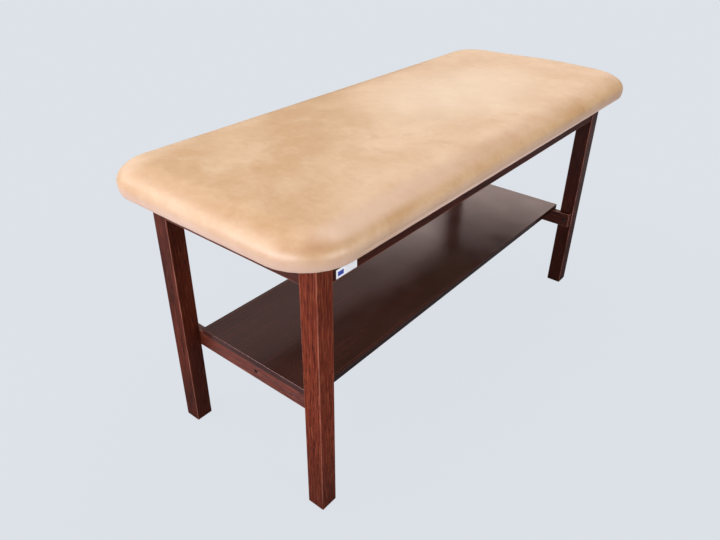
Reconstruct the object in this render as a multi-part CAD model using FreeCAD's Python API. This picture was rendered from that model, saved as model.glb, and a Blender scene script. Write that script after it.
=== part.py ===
import FreeCAD, Part
import math
import os

# Examination table: a one-piece padded top on a fixed wooden frame with a storage shelf.
# +X runs along the length, +Y to the rear, +Z up.  The origin is on the floor under the
# middle of the top.  Left is -X, front is -Y.  All sizes are in millimetres.

# Padded top
TOP_LENGTH = 1804.0
TOP_WIDTH = 756.0
TABLE_HEIGHT = 900.0
TOP_CORNER_RADIUS = 138.0
PAD_SHOULDER_RADIUS = 50.0
PAD_HEM_RADIUS = 10.0
COVER_THICKNESS = 1.5
COVER_TURN_IN = 60.0
DECK_THICKNESS = 15.0
DECK_INSET = 12.0
STAPLE_INSET = 46.0
STAPLE_PITCH = 110.0
STAPLE_WIDTH = 10.0
STAPLE_LEG = 8.0
STAPLE_WIRE = 1.2
CORNER_STAPLE_ANGLES = (15.0, 45.0, 75.0)

# Frame
FRAME_LENGTH = 1604.0
FRAME_WIDTH = 600.0
FRAME_HEIGHT = 825.0
LEG_SIZE = 55.0
LEG_EDGE_RADIUS = 2.5
FOOT_CHAMFER = 1.5
APRON_HEIGHT = 96.0
APRON_THICKNESS = 22.0
APRON_SETBACK = 3.0
EASED_EDGE = 1.5
TENON_THICKNESS = 10.0
TENON_LENGTH = 25.0
TENON_SHOULDER = 12.0
CORNER_BLOCK_REACH = 60.0
CORNER_BLOCK_HEIGHT = 60.0
CROSS_RAIL_THICKNESS = 28.0
CROSS_RAIL_HEIGHT = 60.0
CROSS_RAIL_SPACING = 375.0
DOWEL_DIAMETER = 8.0
DOWEL_LENGTH = 34.0
DOWEL_IN_APRON = 14.0
DOWEL_SPACING = 30.0

# Shelf.  The two bearers are one part, turned round: each sits off centre along Y, the left
# one to the rear and the right one to the front.
BEARER_LENGTH = 573.0
BEARER_THICKNESS = 21.0
BEARER_HEIGHT = 56.0
BEARER_BOTTOM = 279.0
BEARER_SHIFT = 7.5
SHELF_THICKNESS = 19.0
SHELF_LENGTH = 1506.0
SHELF_WIDTH = 448.0
SHELF_CORNER_RADIUS = 2.0
STRETCHER_THICKNESS = 28.0
STRETCHER_HEIGHT = 45.0

# Bolts and nuts
BOLT_DIAMETER = 8.0
BOLT_HEAD_DIAMETER = 13.0
BOLT_HEAD_HEIGHT = 4.0
BOLT_SOCKET_ACROSS = 6.0
BOLT_SOCKET_DEPTH = 2.5
BEARER_BOLT_LENGTH = 45.0
BOLT_FROM_BEARER_END = 18.0
INSERT_NUT_DIAMETER = 12.0
INSERT_NUT_LENGTH = 30.0
STRETCHER_BOLT_LENGTH = 65.0
BARREL_NUT_DIAMETER = 14.0
BARREL_NUT_LENGTH = 14.0
BARREL_NUT_FROM_END = 32.0

# Screws
SCREW_DIAMETER = 4.5
SCREW_HEAD_DIAMETER = 9.0
SCREW_HEAD_HEIGHT = 3.0
SCREW_SOCKET_ACROSS = 3.2
SCREW_SOCKET_DEPTH = 1.5
SCREW_TIP_DIAMETER = 1.0
COUNTERBORE_DIAMETER = 11.0
BLOCK_SCREW_LENGTH = 45.0
BLOCK_SCREW_SETBACK = 25.0
BLOCK_SCREW_RECESS = 5.0
BLOCK_SCREW_SPACING = 30.0
UPWARD_SCREW_LENGTH = 30.0
UPWARD_SCREW_BELOW_JOINT = 18.0
DECK_SCREW_FROM_LEG = 7.5
DECK_SCREW_Y = 150.0
SHELF_SCREW_Y = 180.0
STRETCHER_SCREW_X = 375.0

# Label plate
LABEL_WIDTH = 74.0
LABEL_HEIGHT = 24.0
LABEL_THICKNESS = 0.5
LABEL_FROM_LEG = 14.0
LABEL_ABOVE_EDGE = 4.0

# Derived positions
HALF_FRAME_X = FRAME_LENGTH / 2
HALF_FRAME_Y = FRAME_WIDTH / 2
LEG_INNER_X = HALF_FRAME_X - LEG_SIZE
LEG_INNER_Y = HALF_FRAME_Y - LEG_SIZE
APRON_BOTTOM = FRAME_HEIGHT - APRON_HEIGHT
APRON_OUTER_X = HALF_FRAME_X - APRON_SETBACK
APRON_OUTER_Y = HALF_FRAME_Y - APRON_SETBACK
APRON_INNER_X = APRON_OUTER_X - APRON_THICKNESS
APRON_INNER_Y = APRON_OUTER_Y - APRON_THICKNESS
BLOCK_BOTTOM = FRAME_HEIGHT - CORNER_BLOCK_HEIGHT
CROSS_RAIL_BOTTOM = FRAME_HEIGHT - CROSS_RAIL_HEIGHT
BEARER_TOP = BEARER_BOTTOM + BEARER_HEIGHT
BEARER_MIDDLE = BEARER_BOTTOM + BEARER_HEIGHT / 2
BEARER_INNER_X = LEG_INNER_X - BEARER_THICKNESS
BEARER_CENTRE_X = LEG_INNER_X - BEARER_THICKNESS / 2
BEARER_BOLT_REACH = BEARER_LENGTH / 2 - BOLT_FROM_BEARER_END
STRETCHER_BOTTOM = BEARER_TOP - STRETCHER_HEIGHT
PAD_BOTTOM = FRAME_HEIGHT - COVER_THICKNESS
DECK_TOP = FRAME_HEIGHT + DECK_THICKNESS
SIDES_X = {"left": -1, "right": 1}
SIDES_Y = {"front": -1, "rear": 1}
CROSS_RAILS_X = {"left": -CROSS_RAIL_SPACING, "middle": 0.0, "right": CROSS_RAIL_SPACING}
UP = FreeCAD.Vector(0, 0, 1)
HEXAGON_SIDES = 6
PARALLEL = 0.999
LEVEL_TOLERANCE = 1e-4
MM3_PER_CM3 = 1000.0


def vec(x, y, z):
    return FreeCAD.Vector(x, y, z)


def block(x0, x1, y0, y1, z0, z1):
    """Box between two opposite corners, given in any order along each axis."""
    low = vec(min(x0, x1), min(y0, y1), min(z0, z1))
    return Part.makeBox(abs(x1 - x0), abs(y1 - y0), abs(z1 - z0), low)


def rod(diameter, length, start, direction):
    return Part.makeCylinder(diameter / 2, length, start, direction)


def line_edges(solid, direction):
    """Straight edges of a solid that run along a direction."""
    edges = []
    for edge in solid.Edges:
        if edge.Curve.TypeId == "Part::GeomLine":
            if abs(edge.tangentAt(edge.FirstParameter).dot(direction)) > PARALLEL:
                edges.append(edge)
    return edges


def level_edges(solid, z):
    """Edges of a solid that lie wholly at one height."""
    return [edge for edge in solid.Edges
            if abs(edge.BoundBox.ZMin - z) < LEVEL_TOLERANCE
            and abs(edge.BoundBox.ZMax - z) < LEVEL_TOLERANCE]


def rounded_slab(length, width, radius, z0, z1):
    slab = block(-length / 2, length / 2, -width / 2, width / 2, z0, z1)
    return slab.makeFillet(radius, line_edges(slab, UP))


def hexagon_recess(across_corners, depth, start, direction):
    """Six-sided prism that sinks along a direction from a start point."""
    side = vec(1, 0, 0) if direction.z else UP
    other = direction.cross(side)
    corners = []
    for step in range(HEXAGON_SIDES + 1):
        angle = math.tau * (step % HEXAGON_SIDES) / HEXAGON_SIDES
        offset = side * math.cos(angle) + other * math.sin(angle)
        corners.append(start + offset * (across_corners / 2))
    return Part.Face(Part.makePolygon(corners)).extrude(direction * depth)


# Fasteners.  Each starts at its head's outer face and runs along a direction.  Without the
# socket, the same solid is the hole that the fastener fills.

def countersunk_screw(start, direction, length, socket=True):
    shank_end = length - SCREW_DIAMETER
    head = Part.makeCone(SCREW_HEAD_DIAMETER / 2, SCREW_DIAMETER / 2, SCREW_HEAD_HEIGHT,
                         start, direction)
    shank = rod(SCREW_DIAMETER, shank_end - SCREW_HEAD_HEIGHT,
                start + direction * SCREW_HEAD_HEIGHT, direction)
    tip = Part.makeCone(SCREW_DIAMETER / 2, SCREW_TIP_DIAMETER / 2, SCREW_DIAMETER,
                        start + direction * shank_end, direction)
    screw = head.fuse([shank, tip])
    if socket:
        screw = screw.cut(
            hexagon_recess(SCREW_SOCKET_ACROSS, SCREW_SOCKET_DEPTH, start, direction))
    return screw


def socket_bolt(start, direction, length, socket=True):
    head = rod(BOLT_HEAD_DIAMETER, BOLT_HEAD_HEIGHT, start, direction)
    shank = rod(BOLT_DIAMETER, length - BOLT_HEAD_HEIGHT,
                start + direction * BOLT_HEAD_HEIGHT, direction)
    bolt = head.fuse(shank)
    if socket:
        bolt = bolt.cut(hexagon_recess(BOLT_SOCKET_ACROSS, BOLT_SOCKET_DEPTH, start, direction))
    return bolt


def upward_screw(x, y, joint_z, socket=True):
    """Screw from below that crosses the joint at one height."""
    return countersunk_screw(vec(x, y, joint_z - UPWARD_SCREW_BELOW_JOINT), UP,
                             UPWARD_SCREW_LENGTH, socket)


def upward_screw_hole(x, y, joint_z, host_bottom):
    """Counterbore and screw hole in the piece below the joint."""
    counterbore = rod(COUNTERBORE_DIAMETER, joint_z - UPWARD_SCREW_BELOW_JOINT - host_bottom,
                      vec(x, y, host_bottom), UP)
    return [counterbore, upward_screw(x, y, joint_z, socket=False)]


# Legs and aprons

def long_tenon(side_x, side_y):
    """Tenon at one end of a front or rear apron."""
    middle = side_y * (APRON_OUTER_Y - APRON_THICKNESS / 2)
    return block(side_x * LEG_INNER_X, side_x * (LEG_INNER_X + TENON_LENGTH),
                 middle - TENON_THICKNESS / 2, middle + TENON_THICKNESS / 2,
                 APRON_BOTTOM + TENON_SHOULDER, FRAME_HEIGHT - TENON_SHOULDER)


def end_tenon(side_x, side_y):
    """Tenon at one end of a left or right apron."""
    middle = side_x * (APRON_OUTER_X - APRON_THICKNESS / 2)
    return block(middle - TENON_THICKNESS / 2, middle + TENON_THICKNESS / 2,
                 side_y * LEG_INNER_Y, side_y * (LEG_INNER_Y + TENON_LENGTH),
                 APRON_BOTTOM + TENON_SHOULDER, FRAME_HEIGHT - TENON_SHOULDER)


def bearer_bolt_y(side_x, side_y):
    return side_y * BEARER_BOLT_REACH - side_x * BEARER_SHIFT


def insert_nut_hole(side_x, side_y):
    start = vec(side_x * LEG_INNER_X, bearer_bolt_y(side_x, side_y), BEARER_MIDDLE)
    return rod(INSERT_NUT_DIAMETER, INSERT_NUT_LENGTH, start, vec(side_x, 0, 0))


def make_leg(side_x, side_y):
    leg = block(side_x * LEG_INNER_X, side_x * HALF_FRAME_X,
                side_y * LEG_INNER_Y, side_y * HALF_FRAME_Y, 0, FRAME_HEIGHT)
    leg = leg.makeFillet(LEG_EDGE_RADIUS, line_edges(leg, UP))
    leg = leg.makeChamfer(FOOT_CHAMFER, level_edges(leg, 0))
    mortises = [long_tenon(side_x, side_y), end_tenon(side_x, side_y)]
    return leg.cut(mortises + [insert_nut_hole(side_x, side_y)])


def make_long_apron(side_y):
    apron = block(-LEG_INNER_X, LEG_INNER_X, side_y * APRON_OUTER_Y, side_y * APRON_INNER_Y,
                  APRON_BOTTOM, FRAME_HEIGHT)
    apron = apron.makeFillet(EASED_EDGE, line_edges(apron, vec(1, 0, 0)))
    apron = apron.fuse([long_tenon(side_x, side_y) for side_x in SIDES_X.values()])
    dowel_holes = [dowel for x in CROSS_RAILS_X.values() for dowel in cross_rail_dowels(x, side_y)]
    return apron.cut(dowel_holes + all_block_screws(socket=False))


def make_end_apron(side_x):
    apron = block(side_x * APRON_OUTER_X, side_x * APRON_INNER_X, -LEG_INNER_Y, LEG_INNER_Y,
                  APRON_BOTTOM, FRAME_HEIGHT)
    apron = apron.makeFillet(EASED_EDGE, line_edges(apron, vec(0, 1, 0)))
    apron = apron.fuse([end_tenon(side_x, side_y) for side_y in SIDES_Y.values()])
    return apron.cut(all_block_screws(socket=False))


# Corner blocks brace each corner from inside, notched round the leg.

def corner_block_screw_paths(side_x, side_y):
    """Start and direction of each screw, two into each apron."""
    paths = []
    slope = LEG_INNER_X + APRON_INNER_Y - CORNER_BLOCK_REACH
    along_x = LEG_INNER_X - BLOCK_SCREW_SETBACK
    along_y = LEG_INNER_Y - BLOCK_SCREW_SETBACK
    middle = BLOCK_BOTTOM + CORNER_BLOCK_HEIGHT / 2
    for z in (middle - BLOCK_SCREW_SPACING / 2, middle + BLOCK_SCREW_SPACING / 2):
        head_y = slope - along_x + BLOCK_SCREW_RECESS
        head_x = slope - along_y + BLOCK_SCREW_RECESS
        paths.append((vec(side_x * along_x, side_y * head_y, z), vec(0, side_y, 0)))
        paths.append((vec(side_x * head_x, side_y * along_y, z), vec(side_x, 0, 0)))
    return paths


def corner_block_deck_screw(side_x, side_y):
    """Plan position of the screw that holds the deck at one corner."""
    return (side_x * (LEG_INNER_X - DECK_SCREW_FROM_LEG),
            side_y * (LEG_INNER_Y - DECK_SCREW_FROM_LEG))


def all_block_screws(socket=True):
    return [countersunk_screw(start, direction, BLOCK_SCREW_LENGTH, socket)
            for side_x in SIDES_X.values() for side_y in SIDES_Y.values()
            for start, direction in corner_block_screw_paths(side_x, side_y)]


def make_corner_block(side_x, side_y):
    plan = [(LEG_INNER_X - CORNER_BLOCK_REACH, APRON_INNER_Y),
            (LEG_INNER_X, APRON_INNER_Y),
            (LEG_INNER_X, LEG_INNER_Y),
            (APRON_INNER_X, LEG_INNER_Y),
            (APRON_INNER_X, LEG_INNER_Y - CORNER_BLOCK_REACH)]
    corners = [vec(side_x * x, side_y * y, BLOCK_BOTTOM) for x, y in plan + plan[:1]]
    solid = Part.Face(Part.makePolygon(corners)).extrude(UP * CORNER_BLOCK_HEIGHT)
    holes = upward_screw_hole(*corner_block_deck_screw(side_x, side_y), FRAME_HEIGHT, BLOCK_BOTTOM)
    for start, direction in corner_block_screw_paths(side_x, side_y):
        holes.append(countersunk_screw(start, direction, BLOCK_SCREW_LENGTH, socket=False))
        counterbore_start = start - direction * COUNTERBORE_DIAMETER
        holes.append(rod(COUNTERBORE_DIAMETER, COUNTERBORE_DIAMETER, counterbore_start, direction))
    return solid.cut(holes)


# Cross rails under the deck

def cross_rail_dowels(x, side_y):
    middle = CROSS_RAIL_BOTTOM + CROSS_RAIL_HEIGHT / 2
    start = side_y * (APRON_INNER_Y + DOWEL_IN_APRON - DOWEL_LENGTH)
    return [rod(DOWEL_DIAMETER, DOWEL_LENGTH, vec(x, start, middle + offset), vec(0, side_y, 0))
            for offset in (-DOWEL_SPACING / 2, DOWEL_SPACING / 2)]


def all_cross_rail_dowels():
    return [dowel for x in CROSS_RAILS_X.values() for side_y in SIDES_Y.values()
            for dowel in cross_rail_dowels(x, side_y)]


def make_cross_rail(x):
    rail = block(x - CROSS_RAIL_THICKNESS / 2, x + CROSS_RAIL_THICKNESS / 2,
                 -APRON_INNER_Y, APRON_INNER_Y, CROSS_RAIL_BOTTOM, FRAME_HEIGHT)
    holes = all_cross_rail_dowels()
    for y in (-DECK_SCREW_Y, DECK_SCREW_Y):
        holes += upward_screw_hole(x, y, FRAME_HEIGHT, CROSS_RAIL_BOTTOM)
    return rail.cut(holes)


# Padded top: a plywood deck wrapped in foam, under a stapled cover

def pad_form(inset):
    """Outer form of the padded top, moved inwards all round by an inset."""
    top = TABLE_HEIGHT - inset
    bottom = PAD_BOTTOM + inset
    form = rounded_slab(TOP_LENGTH - 2 * inset, TOP_WIDTH - 2 * inset,
                        TOP_CORNER_RADIUS - inset, bottom, top)
    form = form.makeFillet(PAD_SHOULDER_RADIUS - inset, level_edges(form, top))
    return form.makeFillet(PAD_HEM_RADIUS - inset, level_edges(form, bottom))


def deck_blank():
    inset = COVER_THICKNESS + DECK_INSET
    return rounded_slab(TOP_LENGTH - 2 * inset, TOP_WIDTH - 2 * inset,
                        TOP_CORNER_RADIUS - inset, FRAME_HEIGHT, DECK_TOP)


def deck_screw_places():
    places = [corner_block_deck_screw(side_x, side_y)
              for side_x in SIDES_X.values() for side_y in SIDES_Y.values()]
    places += [(x, y) for x in CROSS_RAILS_X.values() for y in (-DECK_SCREW_Y, DECK_SCREW_Y)]
    return places


def deck_screws(socket=True):
    return [upward_screw(x, y, FRAME_HEIGHT, socket) for x, y in deck_screw_places()]


def staple_stations():
    """Plan position and heading of each staple, round a line inside the top's edge."""
    half_x = TOP_LENGTH / 2 - TOP_CORNER_RADIUS
    half_y = TOP_WIDTH / 2 - TOP_CORNER_RADIUS
    reach = TOP_CORNER_RADIUS - STAPLE_INSET
    along_x = int(2 * half_x // STAPLE_PITCH)
    along_y = int(2 * half_y // STAPLE_PITCH)
    stations = []
    for side in (-1, 1):
        for step in range(along_x + 1):
            stations.append((half_x * (2 * step / along_x - 1), side * (half_y + reach), 0.0))
        for step in range(along_y + 1):
            stations.append((side * (half_x + reach), half_y * (2 * step / along_y - 1), 90.0))
    for side_x in SIDES_X.values():
        for side_y in SIDES_Y.values():
            for angle in CORNER_STAPLE_ANGLES:
                x = side_x * (half_x + reach * math.cos(math.radians(angle)))
                y = side_y * (half_y + reach * math.sin(math.radians(angle)))
                heading = side_x * side_y * angle + 90.0
                stations.append((x, y, heading))
    return stations


def make_staple(x, y, heading):
    """Crown under the cover, with two legs up into the deck."""
    half = STAPLE_WIDTH / 2
    low = PAD_BOTTOM - STAPLE_WIRE
    wire = STAPLE_WIRE / 2
    crown = block(-half, half, -wire, wire, low, PAD_BOTTOM)
    legs = [block(end, end - math.copysign(STAPLE_WIRE, end), -wire, wire, low, low + STAPLE_LEG)
            for end in (-half, half)]
    staple = crown.fuse(legs).removeSplitter()
    staple.rotate(vec(0, 0, 0), UP, heading)
    staple.translate(vec(x, y, 0))
    return staple


def all_staples():
    return [make_staple(*station) for station in staple_stations()]


def make_deck(staples):
    return deck_blank().cut(deck_screws(socket=False) + staples)


def make_foam():
    return pad_form(COVER_THICKNESS).cut(deck_blank())


def make_cover(staples):
    window = rounded_slab(TOP_LENGTH - 2 * COVER_TURN_IN, TOP_WIDTH - 2 * COVER_TURN_IN,
                          TOP_CORNER_RADIUS - COVER_TURN_IN, PAD_BOTTOM, FRAME_HEIGHT)
    return pad_form(0).cut([pad_form(COVER_THICKNESS), window] + staples)


# Shelf, its bearers and the stretcher between them

def bearer_bolt(side_x, side_y, socket=True):
    start = vec(side_x * BEARER_INNER_X, bearer_bolt_y(side_x, side_y), BEARER_MIDDLE)
    return socket_bolt(start, vec(side_x, 0, 0), BEARER_BOLT_LENGTH, socket)


def stretcher_bolt(side_x, socket=True):
    start = vec(side_x * LEG_INNER_X, 0, BEARER_MIDDLE)
    return socket_bolt(start, vec(-side_x, 0, 0), STRETCHER_BOLT_LENGTH, socket)


def barrel_nut_blank(side_x, length):
    """Cross nut in the stretcher, seated from its rear face."""
    start = vec(side_x * (BEARER_INNER_X - BARREL_NUT_FROM_END), -BARREL_NUT_LENGTH / 2,
                BEARER_MIDDLE)
    return rod(BARREL_NUT_DIAMETER, length, start, vec(0, 1, 0))


def make_insert_nut(side_x, side_y):
    return insert_nut_hole(side_x, side_y).cut(bearer_bolt(side_x, side_y, socket=False))


def make_bearer(side_x):
    middle = -side_x * BEARER_SHIFT
    bearer = block(side_x * BEARER_INNER_X, side_x * LEG_INNER_X,
                   middle - BEARER_LENGTH / 2, middle + BEARER_LENGTH / 2,
                   BEARER_BOTTOM, BEARER_TOP)
    bearer = bearer.makeFillet(EASED_EDGE, line_edges(bearer, vec(0, 1, 0)))
    holes = [bearer_bolt(side_x, side_y, socket=False) for side_y in SIDES_Y.values()]
    holes.append(stretcher_bolt(side_x, socket=False))
    for y in (-SHELF_SCREW_Y, SHELF_SCREW_Y):
        holes += upward_screw_hole(side_x * BEARER_CENTRE_X, y, BEARER_TOP, BEARER_BOTTOM)
    return bearer.cut(holes)


def make_stretcher():
    half = STRETCHER_THICKNESS / 2
    stretcher = block(-BEARER_INNER_X, BEARER_INNER_X, -half, half, STRETCHER_BOTTOM, BEARER_TOP)
    holes = []
    for side_x in SIDES_X.values():
        holes.append(stretcher_bolt(side_x, socket=False))
        holes.append(barrel_nut_blank(side_x, BARREL_NUT_LENGTH / 2 + half))
        holes += upward_screw_hole(side_x * STRETCHER_SCREW_X, 0, BEARER_TOP, STRETCHER_BOTTOM)
    return stretcher.cut(holes)


def shelf_screws(socket=True):
    places = [(side_x * BEARER_CENTRE_X, y)
              for side_x in SIDES_X.values() for y in (-SHELF_SCREW_Y, SHELF_SCREW_Y)]
    places += [(side_x * STRETCHER_SCREW_X, 0) for side_x in SIDES_X.values()]
    return [upward_screw(x, y, BEARER_TOP, socket) for x, y in places]


def make_shelf():
    top = BEARER_TOP + SHELF_THICKNESS
    shelf = rounded_slab(SHELF_LENGTH, SHELF_WIDTH, SHELF_CORNER_RADIUS, BEARER_TOP, top)
    shelf = shelf.makeFillet(EASED_EDGE, level_edges(shelf, top))
    return shelf.cut(shelf_screws(socket=False))


def make_label_plate():
    x = -LEG_INNER_X + LABEL_FROM_LEG
    z = APRON_BOTTOM + LABEL_ABOVE_EDGE
    return block(x, x + LABEL_WIDTH, -APRON_OUTER_Y, -APRON_OUTER_Y - LABEL_THICKNESS,
                 z, z + LABEL_HEIGHT)


def build_nodes():
    """Every sub-part by name; a group of fasteners is one list of separate solids."""
    staples = all_staples()
    nodes = {}
    for name_y, side_y in SIDES_Y.items():
        nodes["apron_" + name_y] = make_long_apron(side_y)
        for name_x, side_x in SIDES_X.items():
            nodes["leg_" + name_y + "_" + name_x] = make_leg(side_x, side_y)
            nodes["corner_block_" + name_y + "_" + name_x] = make_corner_block(side_x, side_y)
    for name_x, side_x in SIDES_X.items():
        nodes["apron_" + name_x] = make_end_apron(side_x)
        nodes["shelf_bearer_" + name_x] = make_bearer(side_x)
    for name_x, x in CROSS_RAILS_X.items():
        nodes["cross_rail_" + name_x] = make_cross_rail(x)
    nodes["corner_block_screws"] = all_block_screws()
    nodes["cross_rail_dowels"] = all_cross_rail_dowels()
    nodes["deck_board"] = make_deck(staples)
    nodes["deck_screws"] = deck_screws()
    nodes["foam_pad"] = make_foam()
    nodes["pad_cover"] = make_cover(staples)
    nodes["cover_staples"] = staples
    nodes["shelf_board"] = make_shelf()
    nodes["shelf_screws"] = shelf_screws()
    nodes["shelf_stretcher"] = make_stretcher()
    nodes["bearer_bolts"] = [bearer_bolt(side_x, side_y)
                             for side_x in SIDES_X.values() for side_y in SIDES_Y.values()]
    nodes["bearer_insert_nuts"] = [make_insert_nut(side_x, side_y)
                                   for side_x in SIDES_X.values() for side_y in SIDES_Y.values()]
    nodes["stretcher_bolts"] = [stretcher_bolt(side_x) for side_x in SIDES_X.values()]
    nodes["stretcher_barrel_nuts"] = [
        barrel_nut_blank(side_x, BARREL_NUT_LENGTH).cut(stretcher_bolt(side_x, socket=False))
        for side_x in SIDES_X.values()]
    nodes["label_plate"] = make_label_plate()
    return nodes


def main():
    os.makedirs("parts", exist_ok=True)
    for name, shape in build_nodes().items():
        solids = shape if isinstance(shape, list) else [shape]
        single = [solid for piece in solids for solid in piece.Solids]
        result = single[0] if len(single) == 1 else Part.makeCompound(single)
        if not result.isValid():
            raise RuntimeError(name + " is not a valid shape")
        result.exportStep(os.path.join("parts", name + ".step"))
        print(name, len(single), "solids", round(result.Volume / MM3_PER_CM3, 2), "cm3")


main()
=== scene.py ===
import math

import bpy
import numpy as np
from mathutils import Matrix, Vector


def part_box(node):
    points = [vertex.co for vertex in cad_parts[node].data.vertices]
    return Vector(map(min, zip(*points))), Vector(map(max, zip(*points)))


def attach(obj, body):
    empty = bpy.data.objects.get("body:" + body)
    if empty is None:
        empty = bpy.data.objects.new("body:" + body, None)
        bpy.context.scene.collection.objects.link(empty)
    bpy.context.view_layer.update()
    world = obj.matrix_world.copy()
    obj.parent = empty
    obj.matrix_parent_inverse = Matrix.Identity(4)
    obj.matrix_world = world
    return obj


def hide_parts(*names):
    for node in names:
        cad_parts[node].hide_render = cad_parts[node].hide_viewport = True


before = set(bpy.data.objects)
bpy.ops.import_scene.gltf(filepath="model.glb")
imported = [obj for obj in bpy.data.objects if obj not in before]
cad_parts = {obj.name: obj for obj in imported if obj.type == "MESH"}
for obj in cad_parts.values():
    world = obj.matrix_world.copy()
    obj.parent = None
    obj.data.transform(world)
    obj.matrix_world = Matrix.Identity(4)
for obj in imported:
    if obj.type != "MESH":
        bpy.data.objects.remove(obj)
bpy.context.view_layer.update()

# Examination table: stained wooden frame and shelf from the frame model, with an upholstered
# pad made here.  Sizes are in metres unless a name says otherwise; +X is the length and -Y the
# front.

PAD_LOW, PAD_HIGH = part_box("pad_cover")
DECK_LOW, DECK_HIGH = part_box("deck_board")
MM = 0.001

# Camera
CAMERA_PLACE = (-1.6558, -1.1097, 1.5165)
CAMERA_AZIMUTH = -51.15
CAMERA_ELEVATION = 31.65
CAMERA_ROLL = 0.71
CAMERA_LENS_MM = 31.99

# Pad profile: reaches are inwards from the outline, and the side starts a slack inwards of it
# because it swells
SHOULDER_REACH = 90 * MM
HEM_REACH = 6 * MM
WIDEST_ABOVE_HEM = 25 * MM
GROOVE_ABOVE_HEM = 12 * MM
GROOVE_DEPTH = 1.6 * MM
GROOVE_WIDTH = 3.5 * MM
CORNER_RADIUS = 138 * MM
TURN_IN = 60 * MM
DECK_CLEARANCE = 0.3 * MM
SIDE_SLACK = 1 * MM
CROWN = 4 * MM
WIDEST_HEIGHT = PAD_LOW.z + WIDEST_ABOVE_HEM
FLAT_HEIGHT = PAD_HIGH.z - CROWN

# Soft rise of the pad's top at its right end: height, and middle and spread in plan
PROUD_LIFT = 10 * MM
PROUD_MIDDLE = (0.82, -0.07)
PROUD_SPREAD = (0.2, 0.2)

# Pad mesh; a side's steps take in half of the corner at each of its ends
HALF_CORNER_STEPS = 16
LONG_STEPS = 96
SHORT_STEPS = 32
SIDE_STEPS = (2 * HALF_CORNER_STEPS + SHORT_STEPS, 2 * HALF_CORNER_STEPS + LONG_STEPS)
SHOULDER_STEPS = 16
HEM_STEPS = 10
UNDERSIDE_STEPS = 6
DECK_SIDE_STEPS = 3

# Pad cloth simulation
CLOTH_FRAMES = 14
CLOTH_PRESSURE = 0.6
CLOTH_STIFFNESS = 40.0
CLOTH_BENDING = 2.0

# Pleats and puckers under the pad
PLEATS_PER_CORNER = 7
PLEAT_DEPTH = 1.8 * MM
PUCKER_DEPTH = 0.7 * MM
PUCKER_PITCH = 109 * MM
PUCKER_TAPER = 40 * MM

# Wood: how far each seed moves the figure, how far the pith lies beside a piece and how much
# the rings wander, the spacing of the rings, the reach of the wear from an edge, and the height
# below which painted shade darkens the stained pieces towards the floor
GRAIN_SHIFT = (0.37, 0.23, 0.71)
STAINED_PITH = (0.9, 0.35)
PLAIN_PITH = (0.4, 0.2)
RING_WANDER = 0.03
STAINED_RING = 4.4 * MM
PLAIN_RING = 3.5 * MM
RUBBED_EDGE = 3.2 * MM
FLOOR_SHADE_HEIGHT = 360 * MM

# Stained pieces: axis of the grain, tone of the stain, which also paints the light and shade
# that fall on each piece, and specular level; their order gives each one its seed
STAINED = {"apron_front": ("X", 0.27, 0.1), "apron_rear": ("X", 0.4, 0.15),
           "apron_left": ("Y", 0.42, 0.25), "apron_right": ("Y", 0.45, 0.3),
           "shelf_bearer_left": ("Y", 1.1, 0.85), "shelf_bearer_right": ("Y", 0.4, 0.3),
           "shelf_stretcher": ("X", 0.5, 0.2), "leg_front_left": ("Z", 1.1, 0.08),
           "leg_front_right": ("Z", 0.32, 0.15), "leg_rear_left": ("Z", 0.57, 0.1),
           "leg_rear_right": ("Z", 0.45, 0.2)}

# Colours of the stained pieces at a tone of 1, the factor that also paints each piece's light
# and shade, and of what that factor leaves alone; the last of these is painted shade near the floor
STAIN_DARK = (0.088, 0.0125, 0.0055)
STAIN_LIGHT = (0.155, 0.026, 0.0115)
STAIN_RING = (0.034, 0.006, 0.003)
STAIN_FIBRE = (0.26, 0.062, 0.026)
PORE_COLOUR = (0.014, 0.003, 0.002, 1)
RUBBED_COLOUR = (0.4, 0.15, 0.1, 1)
# Painted shade near the floor
FLOOR_SHADE_COLOUR = (0.022, 0.006, 0.004, 1)

# Shelf board; the lipping shows as a line between two distances from each long edge
SHELF_DARK = (0.029, 0.0088, 0.0062, 1)
SHELF_LIGHT = (0.046, 0.0165, 0.0125, 1)
SHELF_FIBRE = (0.08, 0.018, 0.012, 1)
# Painted shade on the board's long sides
SHELF_SIDE_SHADE = (0.006, 0.002, 0.0015, 1)
LIPPING_COLOUR = (0.16, 0.055, 0.04, 1)
# Edge colour: partly wear, partly a painted highlight
SHELF_EDGE_WEAR_AND_HIGHLIGHT = (0.16, 0.06, 0.05, 1)
LIPPING_LINE = (9 * MM, 7.6 * MM)
SHELF_EDGE = 1.8 * MM
FACE_TOLERANCE = 0.2 * MM

# Leatherette: a pale patch on top that is a painted highlight, bands of painted shade near the
# front and left edges, and a pinkish skirt of painted bounced light with a paler hem that is a
# painted highlight; the shift and scale put the patch's middle at the origin
VINYL_DARK = (0.485, 0.282, 0.13, 1)
VINYL_LIGHT = (0.56, 0.362, 0.205, 1)
# Painted highlight on the top, right of the middle
TOP_HIGHLIGHT_COLOUR = (0.675, 0.53, 0.375, 1)
TOP_HIGHLIGHT_SCALE = (2.4, 4.2, 0.0)
TOP_HIGHLIGHT_SHIFT = (-0.6, 0.1, 0.0)
TOP_HIGHLIGHT_REACH = (0.3, 1.3)
# Bands of painted shade near the front and left edges of the top
EDGE_SHADE_COLOUR = (0.33, 0.15, 0.06, 1)
EDGE_SHADE_FRONT = -0.335
EDGE_SHADE_LEFT = -0.875
EDGE_SHADE_WIDTH = 0.055
EDGE_SHADE_ALONG = (-0.7, 0.6)
EDGE_SHADE_BELOW_TOP = (42 * MM, 22 * MM)
# Painted bounced light that makes the lower side pinker
SKIRT_BOUNCE_COLOUR = (0.59, 0.41, 0.345, 1)
SKIRT_BOUNCE_HEIGHT = 48 * MM
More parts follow.
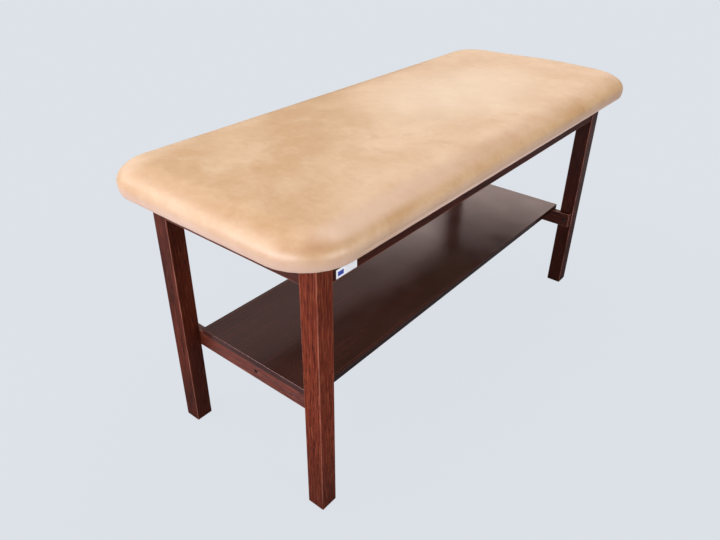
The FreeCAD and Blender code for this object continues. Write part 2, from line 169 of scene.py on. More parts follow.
# Painted highlight along the hem
HEM_HIGHLIGHT_COLOUR = (0.8, 0.58, 0.48, 1)
HEM_HIGHLIGHT_FADE = (5 * MM, 11 * MM)
HEM_HIGHLIGHT_ALONG = (0.35, 0.75)
PEBBLES_PER_METRE = 620.0

# Pale and dark colours of the plain woods, dark and light ones of the plated steels
PINE = ((0.62, 0.43, 0.24, 1), (0.42, 0.24, 0.11, 1))
BEECH = ((0.6, 0.4, 0.24, 1), (0.45, 0.27, 0.15, 1))
BIRCH = ((0.66, 0.5, 0.32, 1), (0.5, 0.34, 0.2, 1))
ZINC = ((0.36, 0.365, 0.38, 1), (0.55, 0.55, 0.54, 1))
BLACK_STEEL = ((0.06, 0.055, 0.05, 1), (0.12, 0.105, 0.095, 1))

# Label: shares of its length and height that the blue bar takes up, of its length that the
# grey ones do, and of a row's height that one of them does
PAPER = ((0.82, 0.84, 0.87, 1), (0.88, 0.9, 0.93, 1))
BLUE = (0.03, 0.05, 0.36, 1)
GREY = (0.35, 0.4, 0.5, 1)
BLUE_BAR = ((0.08, 0.36), (0.22, 0.72))
GREY_BARS = (0.46, 0.92)
GREY_ROWS = 4.0
GREY_ROW = (0.55, 0.8)

# Surroundings; the reaches are distances from the table's middle on the floor
PALE = (0.723, 0.761, 0.807, 1)
FLOOR_SIZE = 60
MATT_FLOOR = (0.44, 0.455, 0.5, 1)
MATT_SHARE = 0.045
MATT_REACH = (0.8, 2.2)
BOUNCE_GREY = (0.3, 0.3, 0.3, 1)
# In reflections the floor near the table is darkened by painted shade
MIRRORED_SHADED_NEAR = (0.17, 0.16, 0.17, 1)
MIRRORED_FAR = (0.42, 0.4, 0.42, 1)
MIRRORED_REACH = (1.0, 2.8)
WORLD_GREY = (0.05, 0.05, 0.05, 1)

# Lights: name, bearing and elevation in degrees, width and height, watts, colour
LIGHT_DISTANCE = 4.2
LIGHT_AIM_HEIGHT = 0.6
LIGHTS = (
    ("left_window", 176, 18, (5.2, 2.2), 208, (0.96, 0.97, 1.08)),
    ("rear_left_window", 135, 38, (2.4, 2.2), 66, (1, 1, 1)),
    ("rear_fill", 100, 25, (3.0, 2.2), 46, (1, 1, 1)),
    ("rear_right_fill", 52, 36, (4.0, 2.4), 9, (1, 1, 1)),
    ("ceiling", 0, 66, (3.0, 2.2), 142, (1, 1, 1)),
    ("far_window", 11.5, 15, (2.4, 0.86), 13.4, (1.0, 0.85, 0.8)),
    ("far_side_window", 36, 20.5, (0.9, 0.7), 4, (1.0, 0.86, 0.81)),
    ("front_fill", 265, 14, (3.0, 2.2), 112, (1, 1, 1)),
)


# Shader helpers.  Scales of noise are per metre, and in grain coordinates the third is the one
# along the grain.

def add_node(tree, kind, inputs=None, **settings):
    """A shader node; each input is given as a plain value or as another node's output."""
    made = tree.nodes.new("ShaderNode" + kind)
    for name, value in settings.items():
        setattr(made, name, value)
    for key, value in (inputs or {}).items():
        if isinstance(value, bpy.types.NodeSocket):
            tree.links.new(value, made.inputs[key])
        else:
            made.inputs[key].default_value = value
    return made


def axes(tree, vector):
    """The X, Y and Z parts of a vector."""
    return add_node(tree, "SeparateXYZ", {0: vector}).outputs


def calc(tree, operation, first, second=0.0, third=0.0):
    """The result of a Math node."""
    inputs = {0: first, 1: second, 2: third}
    return add_node(tree, "Math", inputs, operation=operation).outputs[0]


def times(tree, first, second):
    return calc(tree, "MULTIPLY", first, second)


def smooth_step(tree, value, low, high, start=0.0, end=1.0):
    """Eases from start to end as a value goes from low to high, which may be the lesser."""
    inputs = {"Value": value, "From Min": low, "From Max": high, "To Min": start, "To Max": end}
    return add_node(tree, "MapRange", inputs, interpolation_type="SMOOTHSTEP").outputs["Result"]


def band(tree, value, low, high):
    """1 between two values and 0 outside them."""
    above = calc(tree, "GREATER_THAN", value, low)
    return times(tree, above, calc(tree, "LESS_THAN", value, high))


def distance_from(tree, value, middle):
    """How far a value is from a middle one."""
    return calc(tree, "ABSOLUTE", calc(tree, "SUBTRACT", value, middle))


def noise(tree, vector, scale, detail=2.0, roughness=0.5):
    inputs = {"Vector": vector, "Scale": scale, "Detail": detail, "Roughness": roughness}
    return add_node(tree, "TexNoise", inputs).outputs["Fac"]


def length(tree, vector):
    return add_node(tree, "VectorMath", {0: vector}, operation="LENGTH").outputs["Value"]


def stretched(tree, vector, scale, offset=(0, 0, 0)):
    """Coordinates scaled and then moved."""
    inputs = {"Vector": vector, "Location": offset, "Scale": scale}
    return add_node(tree, "Mapping", inputs).outputs["Vector"]


def blend_colour(tree, share, first, second):
    """First colour mixed with a share of the second.  A Mix node in colour mode takes them at
    its sockets 6 and 7."""
    inputs = {0: share, 6: first, 7: second}
    return add_node(tree, "Mix", inputs, data_type="RGBA").outputs[2]


def scaled(colour, factor):
    """An opaque colour that is a factor times another."""
    return tuple(part * factor for part in colour) + (1,)


def new_material(name):
    """A material, its node tree, its Principled shader and the object's own coordinates."""
    material = bpy.data.materials.new(name)
    material.use_nodes = True
    tree = material.node_tree
    shader = next(n for n in tree.nodes if n.type == "BSDF_PRINCIPLED")
    place = add_node(tree, "TexCoord").outputs["Object"]
    return material, tree, shader, place


def set_shader(tree, shader, **values):
    """Sets the Principled shader's inputs; an underscore in a name stands for a space."""
    for name, value in values.items():
        socket = shader.inputs[name.replace("_", " ")]
        if isinstance(value, bpy.types.NodeSocket):
            tree.links.new(value, socket)
        else:
            socket.default_value = value


def bump(tree, height, distance, strength=1.0, below=None):
    """Normal of a relief, on top of another relief's normal if one is given."""
    inputs = {"Height": height, "Distance": distance, "Strength": strength}
    if below is not None:
        inputs["Normal"] = below
    return add_node(tree, "Bump", inputs).outputs["Normal"]


def edge_nearness(tree, place, node, reach):
    """1 on the edges of a box-shaped node, and 0 where they are a reach away or more."""
    low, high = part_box(node)
    split = axes(tree, place)
    gaps = []
    for axis in range(3):
        off = distance_from(tree, split[axis], (low[axis] + high[axis]) / 2)
        gaps.append(calc(tree, "SUBTRACT", (high[axis] - low[axis]) / 2, off))
    nearer = calc(tree, "MINIMUM", gaps[0], gaps[1])
    farther = calc(tree, "MAXIMUM", gaps[0], gaps[1])
    second = calc(tree, "MAXIMUM", nearer, calc(tree, "MINIMUM", farther, gaps[2]))
    return smooth_step(tree, second, 0.0, reach, 1.0, 0.0)


# Materials

def grain_place(tree, place, axis, seed):
    """Coordinates with the grain along Z, moved so that each piece has its own figure."""
    split = axes(tree, place)
    order = {"X": (1, 2, 0), "Y": (2, 0, 1), "Z": (0, 1, 2)}[axis]
    turned = add_node(tree, "CombineXYZ", {i: split[a] for i, a in enumerate(order)}).outputs[0]
    return stretched(tree, turned, (1, 1, 1), tuple(part * seed for part in GRAIN_SHIFT))


def growth_rings(tree, grain, seed, pith, spacing):
    """Sawtooth across the growth rings of a board whose pith lies beside it."""
    wander = noise(tree, stretched(tree, grain, (9, 9, 1.6)), 1.0, 3.0)
    split = axes(tree, grain)
    across = calc(tree, "SUBTRACT", split[0], GRAIN_SHIFT[0] * seed + pith[0])
    deep = calc(tree, "SUBTRACT", split[1], GRAIN_SHIFT[1] * seed + pith[1])
    squares = calc(tree, "ADD", times(tree, across, across), times(tree, deep, deep))
    radius = calc(tree, "SQRT", squares)
    moved = calc(tree, "MULTIPLY_ADD", wander, RING_WANDER, radius)
    return calc(tree, "FRACT", calc(tree, "DIVIDE", moved, spacing))


def stained_wood(node, axis, seed, tone_and_shade, gloss):
    """Open-grain hardwood, stained mahogany under satin varnish, rubbed lighter on its edges
    and darkened near the floor by painted shade. Its tone also paints the light and shade
    on the piece."""
    material, tree, shader, place = new_material("stained_wood_" + node)
    grain = grain_place(tree, place, axis, seed)
    ring = growth_rings(tree, grain, seed, STAINED_PITH, STAINED_RING)
    early = smooth_step(tree, ring, 0.05, 0.6, 1.0, 0.0)
    fibres = noise(tree, stretched(tree, grain, (380, 380, 16)), 1.0, 3.0)
    pits = noise(tree, stretched(tree, grain, (520, 520, 34)), 1.0, 2.0)
    pores = smooth_step(tree, pits, 0.5, 0.62)
    pore_share = times(tree, pores, smooth_step(tree, early, 0.0, 1.0, 0.3, 1.0))
    cloud = noise(tree, stretched(tree, grain, (14, 14, 3)), 1.0, 3.0)
    # The tone scales the stain's colours, and so also paints the light and shade on the piece
    body = blend_colour(tree, smooth_step(tree, cloud, 0.3, 0.7), scaled(STAIN_DARK, tone_and_shade),
                        scaled(STAIN_LIGHT, tone_and_shade))
    body = blend_colour(tree, times(tree, early, 0.4), body, scaled(STAIN_RING, tone_and_shade))
    body = blend_colour(tree, smooth_step(tree, fibres, 0.48, 0.66, 0.0, 0.6), body,
                        scaled(STAIN_FIBRE, tone_and_shade))
    body = blend_colour(tree, times(tree, pore_share, 0.85), body, PORE_COLOUR)
    wear_noise = noise(tree, stretched(tree, grain, (160, 160, 14)), 1.0, 2.0)
    edge = edge_nearness(tree, place, node, RUBBED_EDGE)
    wear = times(tree, edge, smooth_step(tree, wear_noise, 0.3, 0.65, 0.3, 0.95))
    colour = blend_colour(tree, wear, body, RUBBED_COLOUR)
    # Painted shade: the wood darkens towards the floor
    floor_shade = smooth_step(tree, axes(tree, place)[2], 0.0, FLOOR_SHADE_HEIGHT, 0.45, 0.0)
    colour = blend_colour(tree, floor_shade, colour, FLOOR_SHADE_COLOUR)
    varnish = smooth_step(tree, cloud, 0.2, 0.8, 0.32, 0.42)
    roughness = calc(tree, "MULTIPLY_ADD", pore_share, 0.2, varnish)
    relief = calc(tree, "MULTIPLY_ADD", pore_share, -1.0, times(tree, fibres, 0.3))
    set_shader(tree, shader, Base_Color=colour, Roughness=roughness,
               Normal=bump(tree, relief, 0.3 * MM, 0.9), Specular_IOR_Level=gloss)
    return material


def shelf_panel():
    """Dark stained board under a glossy, slightly rippled varnish, with a reddish line where
    its long edges are lipped, long sides painted dark as shade, and edges lightened partly by
    wear and partly as a painted highlight."""
    material, tree, shader, place = new_material("shelf_panel")
    grain = grain_place(tree, place, "X", 3)
    fibres = noise(tree, stretched(tree, grain, (130, 130, 3)), 1.0, 4.0)
    cloud = noise(tree, stretched(tree, grain, (7, 7, 2)), 1.0, 3.0)
    body = blend_colour(tree, smooth_step(tree, cloud, 0.3, 0.7), SHELF_DARK, SHELF_LIGHT)
    body = blend_colour(tree, smooth_step(tree, fibres, 0.48, 0.72, 0.0, 0.42), body, SHELF_FIBRE)
    low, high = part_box("shelf_board")
    split = axes(tree, place)
    from_middle = distance_from(tree, split[1], (low.y + high.y) / 2)
    half = (high.y - low.y) / 2
    # Painted shade: the board's long sides are darkened
    side = times(tree, calc(tree, "GREATER_THAN", from_middle, half - FACE_TOLERANCE),
                 calc(tree, "LESS_THAN", split[2], high.z - FACE_TOLERANCE))
    body = blend_colour(tree, times(tree, side, 0.8), body, SHELF_SIDE_SHADE)
    lipping = band(tree, from_middle, half - LIPPING_LINE[0], half - LIPPING_LINE[1])
    body = blend_colour(tree, times(tree, lipping, 0.7), body, LIPPING_COLOUR)
    # The edges are lightened partly by wear and partly as a painted highlight
    edge = edge_nearness(tree, place, "shelf_board", SHELF_EDGE)
    colour = blend_colour(tree, times(tree, edge, 0.5), body, SHELF_EDGE_WEAR_AND_HIGHLIGHT)
    ripple = noise(tree, place, 38.0, 2.0)
    smear = noise(tree, place, 9.0, 3.0)
    set_shader(tree, shader, Base_Color=colour,
               Roughness=smooth_step(tree, smear, 0.3, 0.7, 0.15, 0.21),
               Normal=bump(tree, ripple, 0.3 * MM, 0.2), Specular_IOR_Level=0.6,
               Specular_Tint=(1.0, 0.8, 0.76, 1))
    return material


def leatherette():
    """Tan vinyl, mottled in soft clouds, with a fine pebble grain. It has a pale painted highlight
    on top, right of the middle, painted shade in bands near the front and left edges of the top,
    painted bounced light that makes its lower side pinker, and a paler painted highlight at its
    hem."""
    material, tree, shader, place = new_material("leatherette")
    slow = {"Vector": place, "Scale": 3.0, "Detail": 2.0}
    wander = add_node(tree, "TexNoise", slow).outputs["Color"]
    drifted = add_node(tree, "VectorMath", {0: wander, 1: (0.12, 0.12, 0.12)}, operation="MULTIPLY")
    moved = add_node(tree, "VectorMath", {0: place, 1: drifted.outputs[0]}).outputs[0]
    cloud = noise(tree, stretched(tree, moved, (4.5, 5.5, 8)), 1.0, 4.0, 0.55)
    patch = noise(tree, stretched(tree, moved, (17, 15, 18), (2, 5, 1)), 1.0, 6.0, 0.66)
    brushed = noise(tree, stretched(tree, moved, (60, 34, 30)), 1.0, 5.0, 0.6)
    fleck = noise(tree, place, 110.0, 4.0, 0.65)
    colour = blend_colour(tree, smooth_step(tree, cloud, 0.34, 0.66), VINYL_DARK, VINYL_LIGHT)
    for figure, low, high, share, tint in ((patch, 0.5, 0.7, 0.45, (0.43, 0.232, 0.095, 1)),
                                           (patch, 0.48, 0.3, 0.4, (0.6, 0.4, 0.235, 1)),
                                           (brushed, 0.5, 0.72, 0.2, (0.41, 0.22, 0.095, 1)),
                                           (brushed, 0.5, 0.28, 0.2, (0.63, 0.43, 0.27, 1)),
                                           (fleck, 0.52, 0.75, 0.22, (0.37, 0.2, 0.095, 1))):
        shown = smooth_step(tree, figure, low, high, 0.0, share)
        colour = blend_colour(tree, shown, colour, tint)
    # Painted highlight: a pale patch on the top, right of the middle
    patch_place = stretched(tree, place, TOP_HIGHLIGHT_SCALE, TOP_HIGHLIGHT_SHIFT)
    top_highlight = smooth_step(tree, length(tree, patch_place), *TOP_HIGHLIGHT_REACH, 0.45, 0.0)
    colour = blend_colour(tree, top_highlight, colour, TOP_HIGHLIGHT_COLOUR)
    split = axes(tree, place)
    # Painted shade: darker bands along the front and left edges of the top
    from_front = distance_from(tree, split[1], EDGE_SHADE_FRONT)
    from_left = distance_from(tree, split[0], EDGE_SHADE_LEFT)
    front = times(tree, smooth_step(tree, from_front, 0.0, EDGE_SHADE_WIDTH, 0.58, 0.0),
                  smooth_step(tree, split[0], *EDGE_SHADE_ALONG, 1.0, 0.35))
    left = smooth_step(tree, from_left, 0.0, EDGE_SHADE_WIDTH, 0.25, 0.0)
    upper = smooth_step(tree, split[2], *(PAD_HIGH.z - gap for gap in EDGE_SHADE_BELOW_TOP))
    edge_shade = times(tree, calc(tree, "MAXIMUM", front, left), upper)
    colour = blend_colour(tree, edge_shade, colour, EDGE_SHADE_COLOUR)
    # Painted bounced light: the lower side paler and pinker towards the hem
    skirt_bounce = smooth_step(tree, split[2], PAD_LOW.z, PAD_LOW.z + SKIRT_BOUNCE_HEIGHT, 0.6, 0.0)
    colour = blend_colour(tree, skirt_bounce, colour, SKIRT_BOUNCE_COLOUR)
    # Painted highlight: a pale line at the hem, strongest along the middle of the long sides
    hem_highlight = smooth_step(tree, split[2], PAD_LOW.z + HEM_HIGHLIGHT_FADE[0], PAD_LOW.z + HEM_HIGHLIGHT_FADE[1], 0.6, 0.0)
    beside = smooth_step(tree, calc(tree, "ABSOLUTE", split[0]), *HEM_HIGHLIGHT_ALONG, 1.0, 0.1)
    colour = blend_colour(tree, times(tree, hem_highlight, beside), colour, HEM_HIGHLIGHT_COLOUR)
    cell = {"Vector": place, "Scale": PEBBLES_PER_METRE}
    pebbles = add_node(tree, "TexVoronoi", cell, feature="DISTANCE_TO_EDGE").outputs["Distance"]
    creased = smooth_step(tree, pebbles, 0.0, 0.18)
    rippled = noise(tree, place, 130.0, 3.0)
    coarse = bump(tree, rippled, 0.25 * MM, 0.4)
    fine = bump(tree, creased, 0.06 * MM, 0.6, coarse)
    set_shader(tree, shader, Base_Color=colour,
               Roughness=smooth_step(tree, cloud, 0.3, 0.7, 0.4, 0.48), Normal=fine,
               Specular_IOR_Level=0.9, Sheen_Weight=0.08, Sheen_Roughness=0.4)
    return material


def plain_wood(name, axis, pale, dark, seed):
    """Unfinished planed wood with soft growth lines."""
    material, tree, shader, place = new_material(name)
    grain = grain_place(tree, place, axis, seed)
    ring = growth_rings(tree, grain, seed, PLAIN_PITH, PLAIN_RING)
    line = smooth_step(tree, ring, 0.55, 1.0)
    fibres = noise(tree, stretched(tree, grain, (500, 500, 12)), 1.0, 3.0)
    colour = blend_colour(tree, times(tree, line, 0.6), pale, dark)
    colour = blend_colour(tree, smooth_step(tree, fibres, 0.5, 0.8, 0.0, 0.35), colour, dark)
    set_shader(tree, shader, Base_Color=colour, Roughness=0.62,
               Normal=bump(tree, fibres, 0.12 * MM, 0.6), Specular_IOR_Level=0.3)
    return material


def plated_steel(name, dark, light):
    """Plated steel with a faint blotchy finish."""
    material, tree, shader, place = new_material(name)
    blotch = noise(tree, place, 420.0, 3.0)
    scratch = noise(tree, stretched(tree, place, (2600, 300, 2600)), 1.0, 2.0)
    colour = blend_colour(tree, blotch, dark, light)
    set_shader(tree, shader, Base_Color=colour, Metallic=1.0,
               Roughness=smooth_step(tree, blotch, 0.3, 0.7, 0.28, 0.42),
               Normal=bump(tree, scratch, 0.02 * MM, 0.5))
    return material


def label_print():
    """Plain white label: one blue bar and four grey ones, with no lettering."""
    material, tree, shader, place = new_material("label_print")
    low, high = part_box("label_plate")
    split = axes(tree, place)
    along = calc(tree, "DIVIDE", calc(tree, "SUBTRACT", split[0], low.x), high.x - low.x)
    up = calc(tree, "DIVIDE", calc(tree, "SUBTRACT", split[2], low.z), high.z - low.z)
    blue = times(tree, band(tree, along, *BLUE_BAR[0]), band(tree, up, *BLUE_BAR[1]))
    row = calc(tree, "FRACT", times(tree, up, GREY_ROWS))
    bars = times(tree, band(tree, along, *GREY_BARS), band(tree, row, *GREY_ROW))
    paper = noise(tree, place, 900.0, 2.0)
    colour = blend_colour(tree, paper, *PAPER)
    colour = blend_colour(tree, times(tree, bars, 0.5), colour, GREY)
    colour = blend_colour(tree, blue, colour, BLUE)
    set_shader(tree, shader, Base_Color=colour, Roughness=0.3,
               Normal=bump(tree, paper, 0.02 * MM, 0.3))
    return material


def give(node, material):
    """Makes a material the only one of a frame node."""
    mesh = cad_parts[node].data
    mesh.materials.clear()
    mesh.materials.append(material)


def finish_frame_nodes():
    """Materials for every node of the frame that stays in view."""
    for seed, (node, (axis, tone_and_shade, gloss)) in enumerate(STAINED.items(), start=1):
        give(node, stained_wood(node, axis, seed, tone_and_shade, gloss))
    rail = plain_wood("pine_rail", "Y", *PINE, 2)
    block = plain_wood("pine_block", "X", *PINE, 5)
    dowel = plain_wood("beech_dowel", "Y", *BEECH, 7)
    ply = plain_wood("birch_plywood", "X", *BIRCH, 9)
    zinc = plated_steel("zinc_steel", *ZINC)
    black = plated_steel("black_steel", *BLACK_STEEL)
    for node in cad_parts:
        if node.startswith("cross_rail_dowels"):
            give(node, dowel)
        elif node.startswith("cross_rail"):
            give(node, rail)
        elif node.endswith("bolts"):
            give(node, black)
        elif node.endswith(("screws", "nuts", "staples")):
            give(node, zinc)
        elif node.startswith("corner_block"):
            give(node, block)
    give("deck_board", ply)
    give("shelf_board", shelf_panel())
    give("label_plate", label_print())


# Pad form

def outline(inset):
    """Plan points of the pad's rounded outline moved inwards, from the middle of the
    front-right corner, anticlockwise."""
    points = []
    radius = CORNER_RADIUS - inset
    halves = (PAD_HIGH.x, PAD_HIGH.y)
    for side in range(4):
        turn = side * math.pi / 2
        out = np.array((math.cos(turn), math.sin(turn)))
        along = np.array((-out[1], out[0]))
        reach = halves[side % 2] - CORNER_RADIUS
        span = halves[1 - side % 2] - CORNER_RADIUS
        steps = (SHORT_STEPS, LONG_STEPS)[side % 2]
        for step in range(HALF_CORNER_STEPS):
            angle = turn + math.pi / 4 * (step / HALF_CORNER_STEPS - 1)
            round_point = radius * np.array((math.cos(angle), math.sin(angle)))
            points.append(out * reach - along * span + round_point)
        for step in range(steps):
            points.append(out * (reach + radius) + along * span * (2 * step / steps - 1))
        for step in range(HALF_CORNER_STEPS):
            angle = turn + math.pi / 4 * step / HALF_CORNER_STEPS
            round_point = radius * np.array((math.cos(angle), math.sin(angle)))
            points.append(out * reach + along * span + round_point)
    return np.array(points)


def pad_profile():
    """Inset and height of each ring, from the top's flat over the side to the deck's top."""
    rings = []
    for step in range(SHOULDER_STEPS):
        angle = math.pi / 2 * (1 - step / SHOULDER_STEPS)
        inset = SIDE_SLACK + SHOULDER_REACH * (1 - math.cos(angle))
        rings.append((inset, WIDEST_HEIGHT + (FLAT_HEIGHT - WIDEST_HEIGHT) * math.sin(angle)))
    for step in range(HEM_STEPS + 1):
        angle = math.pi / 2 * step / HEM_STEPS
        inset = SIDE_SLACK * math.cos(angle) + HEM_REACH * (1 - math.cos(angle))
        rings.append((inset, WIDEST_HEIGHT - WIDEST_ABOVE_HEM * math.sin(angle)))
    for step in range(1, UNDERSIDE_STEPS + 1):
        rings.append((HEM_REACH + (TURN_IN - HEM_REACH) * step / UNDERSIDE_STEPS, PAD_LOW.z))
    under_deck = DECK_LOW.z - DECK_CLEARANCE
    deck_inset = PAD_HIGH.x - DECK_HIGH.x - DECK_CLEARANCE
    over_deck = DECK_HIGH.z + DECK_CLEARANCE
    rings += [(TURN_IN, under_deck), (deck_inset, under_deck)]
    for step in range(1, DECK_SIDE_STEPS + 1):
        rings.append((deck_inset, under_deck + (over_deck - under_deck) * step / DECK_SIDE_STEPS))
    rings.append((SHOULDER_REACH, over_deck))
    return rings


def fill_outline(ring):
    """Grid of plan points that fills one closed outline, blended from its four sides."""
    across, along = SIDE_STEPS
    left_start = 2 * across + along
    front = ring[[(left_start + i) % len(ring) for i in range(along + 1)]]
    rear = ring[[across + along - i for i in range(along + 1)]]
    right = ring[:across + 1]
    left = ring[[left_start - j for j in range(across + 1)]]
    u = ((front[:, 0] - front[0, 0]) / (front[-1, 0] - front[0, 0]))[:, None, None]
    v = ((right[:, 1] - right[0, 1]) / (right[-1, 1] - right[0, 1]))[None, :, None]
    sides = front[:, None] * (1 - v) + rear[:, None] * v + left[None] * (1 - u) + right[None] * u
    corners = (front[0] * (1 - u) * (1 - v) + front[-1] * u * (1 - v)
               + rear[0] * (1 - u) * v + rear[-1] * u * v)
    return sides - corners


def top_faces(inner_start):
    """Faces of the pad's top: its border is the first ring, and its inside a block of points."""
    across, along = SIDE_STEPS
    count = 2 * (across + along)

    def index(i, j):
        if j == 0:
            return (2 * across + along + i) % count
        if i == along:
            return j
        if j == across:
            return across + along - i
        if i == 0:
            return 2 * across + along - j
        return inner_start + (i - 1) * (across - 1) + j - 1

    return [(index(i, j), index(i + 1, j), index(i + 1, j + 1), index(i, j + 1))
            for i in range(along) for j in range(across)]


def seat_faces(start):
    """Faces of the deck seat's flat: quads across its width, and at each end quads between its
    corners and one many-sided face."""
    across, along = SIDE_STEPS
    count = 2 * (across + along)
    front = [start + (2 * across + along + i) % count for i in range(along + 1)]
    rear = [start + across + along - i for i in range(along + 1)]
    left = [start + 2 * across + along - j for j in range(across + 1)]
    right = [start + j for j in range(across + 1)]
    faces = [(front[i], rear[i], rear[i + 1], front[i + 1]) for i in range(along)]
    for j in range(HALF_CORNER_STEPS - 1):
        k = across - j
        faces.append((left[j + 1], left[k - 1], left[k], left[j]))
        faces.append((right[j], right[k], right[k - 1], right[j + 1]))
    last = HALF_CORNER_STEPS - 1
    faces.append(left[last + 1:across - last] + [left[across - last], left[last]])
    faces.append([right[last], right[across - last]] + right[last + 1:across - last][::-1])
    return faces


def build_pad():
    """Closed pad mesh: top, rounded sides, turned-in hem and the seat for the deck."""
    rings = pad_profile()
    count = 2 * sum(SIDE_STEPS)
    points = []
    faces = []
    for inset, height in rings:
        plan = outline(inset)
        points += [(x, y, height) for x, y in plan]
    for ring in range(len(rings) - 1):
        for step in range(count):
            a, b = ring * count + step, ring * count + (step + 1) % count
            faces.append((a, a + count, b + count, b))
    faces += seat_faces((len(rings) - 1) * count)
    inset, height = rings[0]
    faces += top_faces(len(points))
    inner = fill_outline(outline(inset))[1:-1, 1:-1].reshape(-1, 2)
    points += [(x, y, height) for x, y in inner]
    mesh = bpy.data.meshes.new("upholstered_pad")
    mesh.from_pydata(points, [], faces)
    pad = bpy.data.objects.new("upholstered_pad", mesh)
    bpy.context.scene.collection.objects.link(pad)
    return pad


def read_points(mesh):
    flat = np.zeros(len(mesh.vertices) * 3)
    mesh.vertices.foreach_get("co", flat)
    return flat.reshape(-1, 3)


def write_points(mesh, points):
    mesh.vertices.foreach_set("co", points.ravel())
    mesh.update()


def inflate(pad):
    """Swells the cover by a cloth simulation, held up to the widest line and freer above it,
    and scales the swelling to the crown."""
    start = read_points(pad.data)
    held = pad.vertex_groups.new(name="held")
    for index, point in enumerate(start):
        in_seat = point[2] < DECK_HIGH.z + 2 * DECK_CLEARANCE
        loose = min(max((point[2] - WIDEST_HEIGHT) / (PAD_HIGH.z - WIDEST_HEIGHT), 0.0), 1.0)
        held.add([index], 1.0 if in_seat else (1.0 - loose) ** 2, "REPLACE")
    cloth = pad.modifiers.new("cloth", "CLOTH")
    settings = cloth.settings
    settings.vertex_group_mass = "held"
    settings.use_pressure = True
    settings.uniform_pressure_force = CLOTH_PRESSURE
    settings.effector_weights.gravity = 0.0
    settings.tension_stiffness = CLOTH_STIFFNESS
    settings.compression_stiffness = CLOTH_STIFFNESS
    settings.bending_stiffness = CLOTH_BENDING
    cloth.point_cache.frame_start = 1
    cloth.point_cache.frame_end = CLOTH_FRAMES
    scene = bpy.context.scene
    for moment in range(1, CLOTH_FRAMES + 1):
        scene.frame_set(moment)
    evaluated = pad.evaluated_get(bpy.context.evaluated_depsgraph_get())
    moved = read_points(evaluated.data) - start
    pad.modifiers.clear()
    scene.frame_set(1)
    write_points(pad.data, start + moved * (CROWN / moved[:, 2].max()))


def gather(points):
    """Pleats round the underside of each corner, faint puckers between the staples, and a
    shallow groove above the hem of the two long sides."""
    straight = np.array(PAD_HIGH)[:2] - CORNER_RADIUS
    over = np.abs(points[:, :2]) - straight
    out = np.maximum(over, 0.0)
    reach = np.maximum(np.linalg.norm(out, axis=1), MM)
    inset = CORNER_RADIUS - reach
    angle = np.arctan2(out[:, 1], out[:, 0])
    phase = 2.0 * np.sign(points[:, 0]) + np.sign(points[:, 1])
    wave = (0.5 + 0.5 * np.cos(4 * PLEATS_PER_CORNER * angle + phase)) ** 2
    along_x = over[:, 1] > over[:, 0]
    run = np.where(along_x, points[:, 0], points[:, 1])
    end = np.where(along_x, straight[0], straight[1])
    taper = np.clip((end - np.abs(run)) / PUCKER_TAPER, 0.0, 1.0)
    pucker = PUCKER_DEPTH * taper * (0.5 + 0.5 * np.cos(math.tau * run / PUCKER_PITCH))
    off = (points[:, 2] - PAD_LOW.z - GROOVE_ABOVE_HEM) / GROOVE_WIDTH
    groove = GROOVE_DEPTH * taper * along_x * np.exp(-off * off)
    in_corner = (over > 0).all(axis=1)
    depth = np.where(in_corner, PLEAT_DEPTH * np.sin(2 * angle) * wave, pucker)
    low = np.clip((WIDEST_HEIGHT - points[:, 2]) / WIDEST_ABOVE_HEM, 0.0, 1.0) ** 2
    side = inset < HEM_REACH + MM
    under = points[:, 2] < PAD_LOW.z + DECK_CLEARANCE
    inwards = (depth * low + groove) * side / reach
    points[:, :2] -= np.sign(points[:, :2]) * out * inwards[:, None]
    fade = np.clip(1 - (inset - HEM_REACH) / (TURN_IN - HEM_REACH), 0.0, 1.0)
    points[:, 2] -= depth * under * fade


def raise_end(points):
    """Soft rise of the top round a middle point, none of it below the widest line."""
    share = np.clip((points[:, 2] - WIDEST_HEIGHT) / (FLAT_HEIGHT - WIDEST_HEIGHT), 0.0, 1.0)
    from_middle = ((points[:, :2] - PROUD_MIDDLE) / PROUD_SPREAD) ** 2
    points[:, 2] += PROUD_LIFT * share * np.exp(-from_middle.sum(axis=1))


# Stage, light and camera

def make_floor():
    """Floor of one pale shade to the camera, a little darker under the table.  It bounces
    little light, and in reflections it is grey, with painted shade darker near the table."""
    bpy.ops.mesh.primitive_plane_add(size=FLOOR_SIZE)
    floor = bpy.context.object
    floor.name = "floor"
    material = bpy.data.materials.new("pale_floor")
    material.use_nodes = True
    tree = material.node_tree
    tree.nodes.clear()
    path = add_node(tree, "LightPath").outputs
    seen = path["Is Camera Ray"]
    place = add_node(tree, "TexCoord").outputs["Object"]
    away = length(tree, place)
    glow = add_node(tree, "Emission", {"Color": PALE, "Strength": 1.0}).outputs[0]
    matt = add_node(tree, "BsdfDiffuse", {"Color": MATT_FLOOR}).outputs[0]
    mirrored = blend_colour(tree, smooth_step(tree, away, *MIRRORED_REACH), MIRRORED_SHADED_NEAR,
                            MIRRORED_FAR)
    bounced = blend_colour(tree, path["Is Glossy Ray"], BOUNCE_GREY, mirrored)
    plain = add_node(tree, "BsdfDiffuse", {"Color": bounced}).outputs[0]
    shade = smooth_step(tree, away, *MATT_REACH, MATT_SHARE, 0.0)
    shown = add_node(tree, "MixShader", {0: shade, 1: glow, 2: matt}).outputs[0]
    surface = add_node(tree, "MixShader", {0: seen, 1: plain, 2: shown}).outputs[0]
    add_node(tree, "OutputMaterial", {"Surface": surface})
    floor.data.materials.append(material)


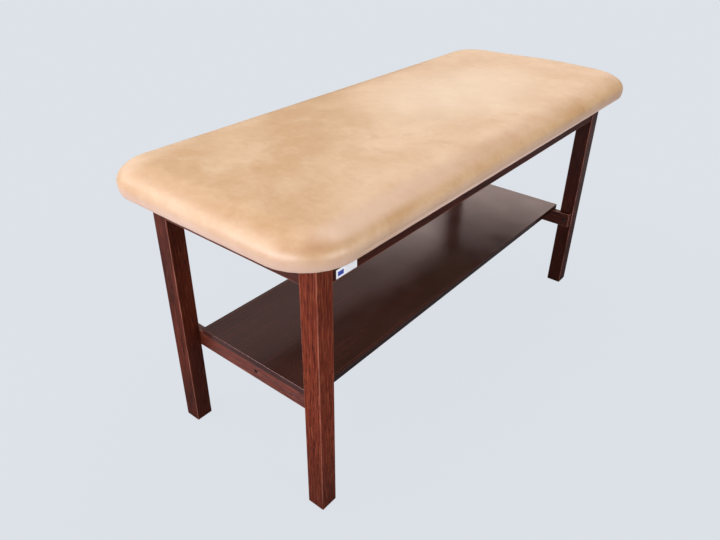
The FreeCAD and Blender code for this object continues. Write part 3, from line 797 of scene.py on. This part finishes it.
def make_surroundings():
    """The floor's shade to the camera, and dim to everything else."""
    world = bpy.data.worlds.new("pale_surroundings")
    world.use_nodes = True
    tree = world.node_tree
    tree.nodes.clear()
    seen = add_node(tree, "LightPath").outputs["Is Camera Ray"]
    colour = blend_colour(tree, seen, WORLD_GREY, PALE)
    background = add_node(tree, "Background", {"Color": colour}).outputs[0]
    add_node(tree, "OutputWorld", {"Surface": background})
    bpy.context.scene.world = world


def soft_light(name, bearing, elevation, size, power, colour):
    """Rectangular light that faces the table from a bearing, in degrees anticlockwise from +X."""
    turn, lift = math.radians(bearing), math.radians(elevation)
    towards = Vector((math.cos(turn) * math.cos(lift), math.sin(turn) * math.cos(lift),
                      math.sin(lift)))
    lamp = bpy.data.lights.new(name, "AREA")
    lamp.shape = "RECTANGLE"
    lamp.size, lamp.size_y = size
    lamp.energy = power
    lamp.color = colour
    holder = bpy.data.objects.new(name, lamp)
    holder.location = Vector((0, 0, LIGHT_AIM_HEIGHT)) + towards * LIGHT_DISTANCE
    holder.rotation_mode = "QUATERNION"
    holder.rotation_quaternion = towards.to_track_quat("Z", "Y")
    holder.visible_camera = False
    bpy.context.scene.collection.objects.link(holder)


def make_camera():
    """Camera solved from the photograph; azimuth 0 looks along +Y."""
    azimuth, elevation, roll = (math.radians(a) for a in
                                (CAMERA_AZIMUTH, CAMERA_ELEVATION, CAMERA_ROLL))
    back = Vector((math.sin(azimuth) * math.cos(elevation),
                   -math.cos(azimuth) * math.cos(elevation), math.sin(elevation)))
    right = Vector((0, 0, 1)).cross(back).normalized()
    up = back.cross(right)
    tilted_right = right * math.cos(roll) + up * math.sin(roll)
    tilted_up = up * math.cos(roll) - right * math.sin(roll)
    turned = Matrix((tilted_right, tilted_up, back)).transposed()
    camera = bpy.data.cameras.new("camera")
    camera.lens = CAMERA_LENS_MM
    holder = bpy.data.objects.new("camera", camera)
    holder.matrix_world = Matrix.Translation(CAMERA_PLACE) @ turned.to_4x4()
    bpy.context.scene.collection.objects.link(holder)
    bpy.context.scene.camera = holder
    bpy.context.scene.view_settings.view_transform = "Standard"


def main():
    finish_frame_nodes()
    pad = build_pad()
    inflate(pad)
    points = read_points(pad.data)
    gather(points)
    raise_end(points)
    write_points(pad.data, points)
    smooth = pad.modifiers.new("smooth", "SUBSURF")
    smooth.levels = 1
    smooth.render_levels = 1
    pad.data.polygons.foreach_set("use_smooth", [True] * len(pad.data.polygons))
    pad.data.materials.append(leatherette())
    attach(pad, "root")
    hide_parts("foam_pad", "pad_cover")
    make_floor()
    make_surroundings()
    for light in LIGHTS:
        soft_light(*light)
    make_camera()


main()
